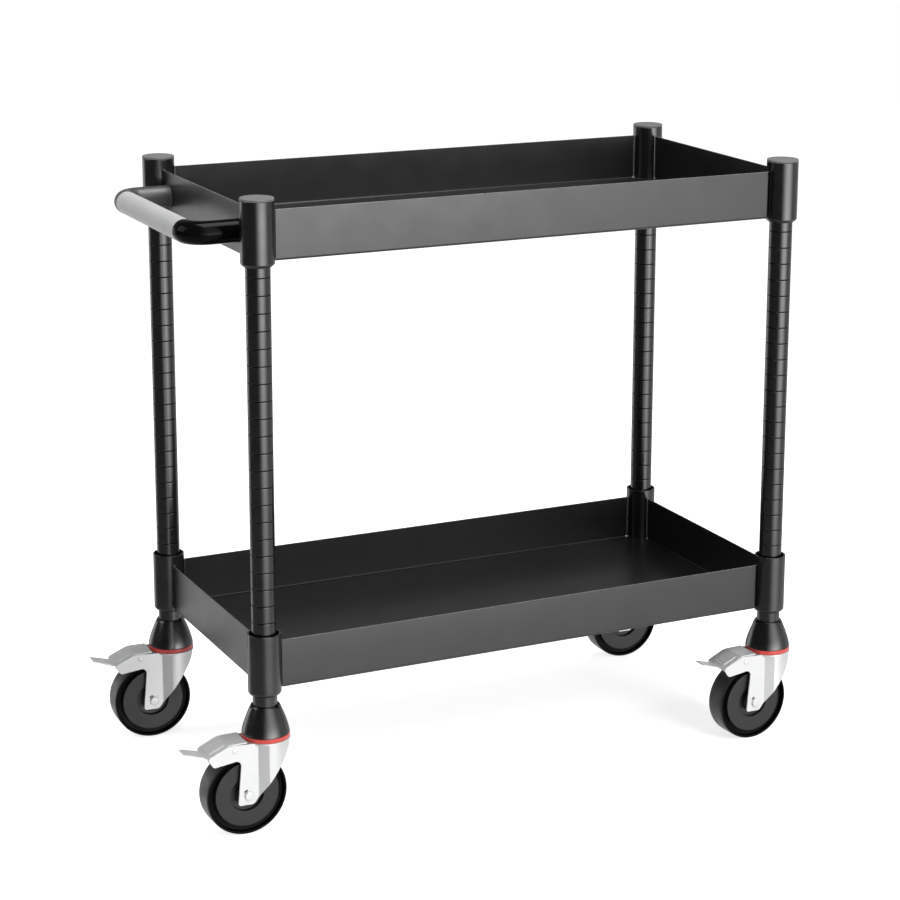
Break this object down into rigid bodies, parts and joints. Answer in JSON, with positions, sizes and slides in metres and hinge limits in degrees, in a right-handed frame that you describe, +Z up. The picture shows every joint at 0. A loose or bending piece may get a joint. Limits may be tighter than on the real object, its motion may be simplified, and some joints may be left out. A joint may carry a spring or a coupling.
{
  "type": "utility cart",
  "caption": "Rolling utility cart with two walled sheet steel trays on grooved round posts, a push handle at one end and braked swivel casters.",
  "frame": {"origin": "middle of the whole cart's outline seen from above, on the floor", "axes": "+Z up, +X along the cart away from the push handle, +Y across the cart to the back"},
  "size_m": [1.0326, 0.4934, 0.9388],
  "materials": {
    "post_black": "satin",
    "tray_black": "satin",
    "collar_black": "satin",
    "sleeve_plastic": "matte",
    "cap_plastic": "satin",
    "elbow_gloss": "gloss",
    "grip_grey": "satin",
    "plain_steel": "satin",
    "insert_brass": "satin",
    "expander_rubber": "matte",
    "cover_plastic": "satin",
    "zinc": "satin",
    "lever_zinc": "satin",
    "seal_red": "satin",
    "tyre_black": "matte",
    "wheel_plastic": "matte"
  },
  "bodies": {
    "frame": {"post_front_left": "post_black", "post_front_right": "post_black", "post_back_right": "post_black", "post_back_left": "post_black", "upper_tray": "tray_black", "lower_tray": "tray_black", "upper_collars": "collar_black", "lower_collars": "collar_black", "upper_sleeves": "sleeve_plastic", "lower_sleeves": "sleeve_plastic", "post_end_caps": "cap_plastic", "handle_elbow_front": "elbow_gloss", "handle_elbow_rear": "elbow_gloss", "handle_grip": "grip_grey", "handle_core": "plain_steel", "handle_bolts": "plain_steel", "caster_stems": "plain_steel", "stem_nuts": "plain_steel", "handle_inserts": "insert_brass", "caster_expanders": "expander_rubber", "caster_covers": "cover_plastic", "swivel_heads": "zinc", "dust_seals": "seal_red", "swivel_balls": "plain_steel"},
    "swivel_fl": {"fork_fl": "zinc", "axle_fl": "zinc", "axle_sleeve_fl": "plain_steel", "brake_pin_fl": "zinc"},
    "wheel_fl": {"tyre_fl": "tyre_black", "wheel_centre_fl": "wheel_plastic", "wheel_bearing_fl": "plain_steel"},
    "brake_fl": {"brake_lever_fl": "lever_zinc", "brake_shoe_fl": "plain_steel"},
    "swivel_fr": {"fork_fr": "zinc", "axle_fr": "zinc", "axle_sleeve_fr": "plain_steel", "brake_pin_fr": "zinc"},
    "wheel_fr": {"tyre_fr": "tyre_black", "wheel_centre_fr": "wheel_plastic", "wheel_bearing_fr": "plain_steel"},
    "brake_fr": {"brake_lever_fr": "lever_zinc", "brake_shoe_fr": "plain_steel"},
    "swivel_br": {"fork_br": "zinc", "axle_br": "zinc", "axle_sleeve_br": "plain_steel", "brake_pin_br": "zinc"},
    "wheel_br": {"tyre_br": "tyre_black", "wheel_centre_br": "wheel_plastic", "wheel_bearing_br": "plain_steel"},
    "brake_br": {"brake_lever_br": "lever_zinc", "brake_shoe_br": "plain_steel"},
    "swivel_bl": {"fork_bl": "zinc", "axle_bl": "zinc", "axle_sleeve_bl": "plain_steel", "brake_pin_bl": "zinc"},
    "wheel_bl": {"tyre_bl": "tyre_black", "wheel_centre_bl": "wheel_plastic", "wheel_bearing_bl": "plain_steel"},
    "brake_bl": {"brake_lever_bl": "lever_zinc", "brake_shoe_bl": "plain_steel"}
  },
  "joints": [
    {"name": "front_left_swivel", "type": "hinge", "parent": "frame", "child": "swivel_fl", "pos_m": [-0.38494, -0.2105, 0], "axis": [0, 0, 1], "continuous": true},
    {"name": "front_left_wheel", "type": "hinge", "parent": "swivel_fl", "child": "wheel_fl", "pos_m": [-0.42193, -0.21115, 0.0625], "axis": [0.0175, -0.9998, 0], "continuous": true},
    {"name": "front_left_brake", "type": "hinge", "parent": "swivel_fl", "child": "brake_fl", "pos_m": [-0.44323, -0.21152, 0.135], "axis": [0.0175, -0.9998, 0], "range_deg": [0, 10]},
    {"name": "front_right_swivel", "type": "hinge", "parent": "frame", "child": "swivel_fr", "pos_m": [0.48006, -0.2105, 0], "axis": [0, 0, 1], "continuous": true},
    {"name": "front_right_wheel", "type": "hinge", "parent": "swivel_fr", "child": "wheel_fr", "pos_m": [0.44311, -0.21244, 0.0625], "axis": [0.0523, -0.9986, 0], "continuous": true},
    {"name": "front_right_brake", "type": "hinge", "parent": "swivel_fr", "child": "brake_fr", "pos_m": [0.42184, -0.21355, 0.135], "axis": [0.0523, -0.9986, 0], "range_deg": [0, 10]},
    {"name": "back_right_swivel", "type": "hinge", "parent": "frame", "child": "swivel_br", "pos_m": [0.48006, 0.2105, 0], "axis": [0, 0, 1], "continuous": true},
    {"name": "back_right_wheel", "type": "hinge", "parent": "swivel_br", "child": "wheel_br", "pos_m": [0.44306, 0.2105, 0.0625], "axis": [0, -1, 0], "continuous": true},
    {"name": "back_right_brake", "type": "hinge", "parent": "swivel_br", "child": "brake_br", "pos_m": [0.42176, 0.2105, 0.135], "axis": [0, -1, 0], "range_deg": [0, 10]},
    {"name": "back_left_swivel", "type": "hinge", "parent": "frame", "child": "swivel_bl", "pos_m": [-0.38494, 0.2105, 0], "axis": [0, 0, 1], "continuous": true},
    {"name": "back_left_wheel", "type": "hinge", "parent": "swivel_bl", "child": "wheel_bl", "pos_m": [-0.42192, 0.21179, 0.0625], "axis": [-0.0349, -0.9994, 0], "continuous": true},
    {"name": "back_left_brake", "type": "hinge", "parent": "swivel_bl", "child": "brake_bl", "pos_m": [-0.4432, 0.21254, 0.135], "axis": [-0.0349, -0.9994, 0], "range_deg": [0, 10]}
  ]
}
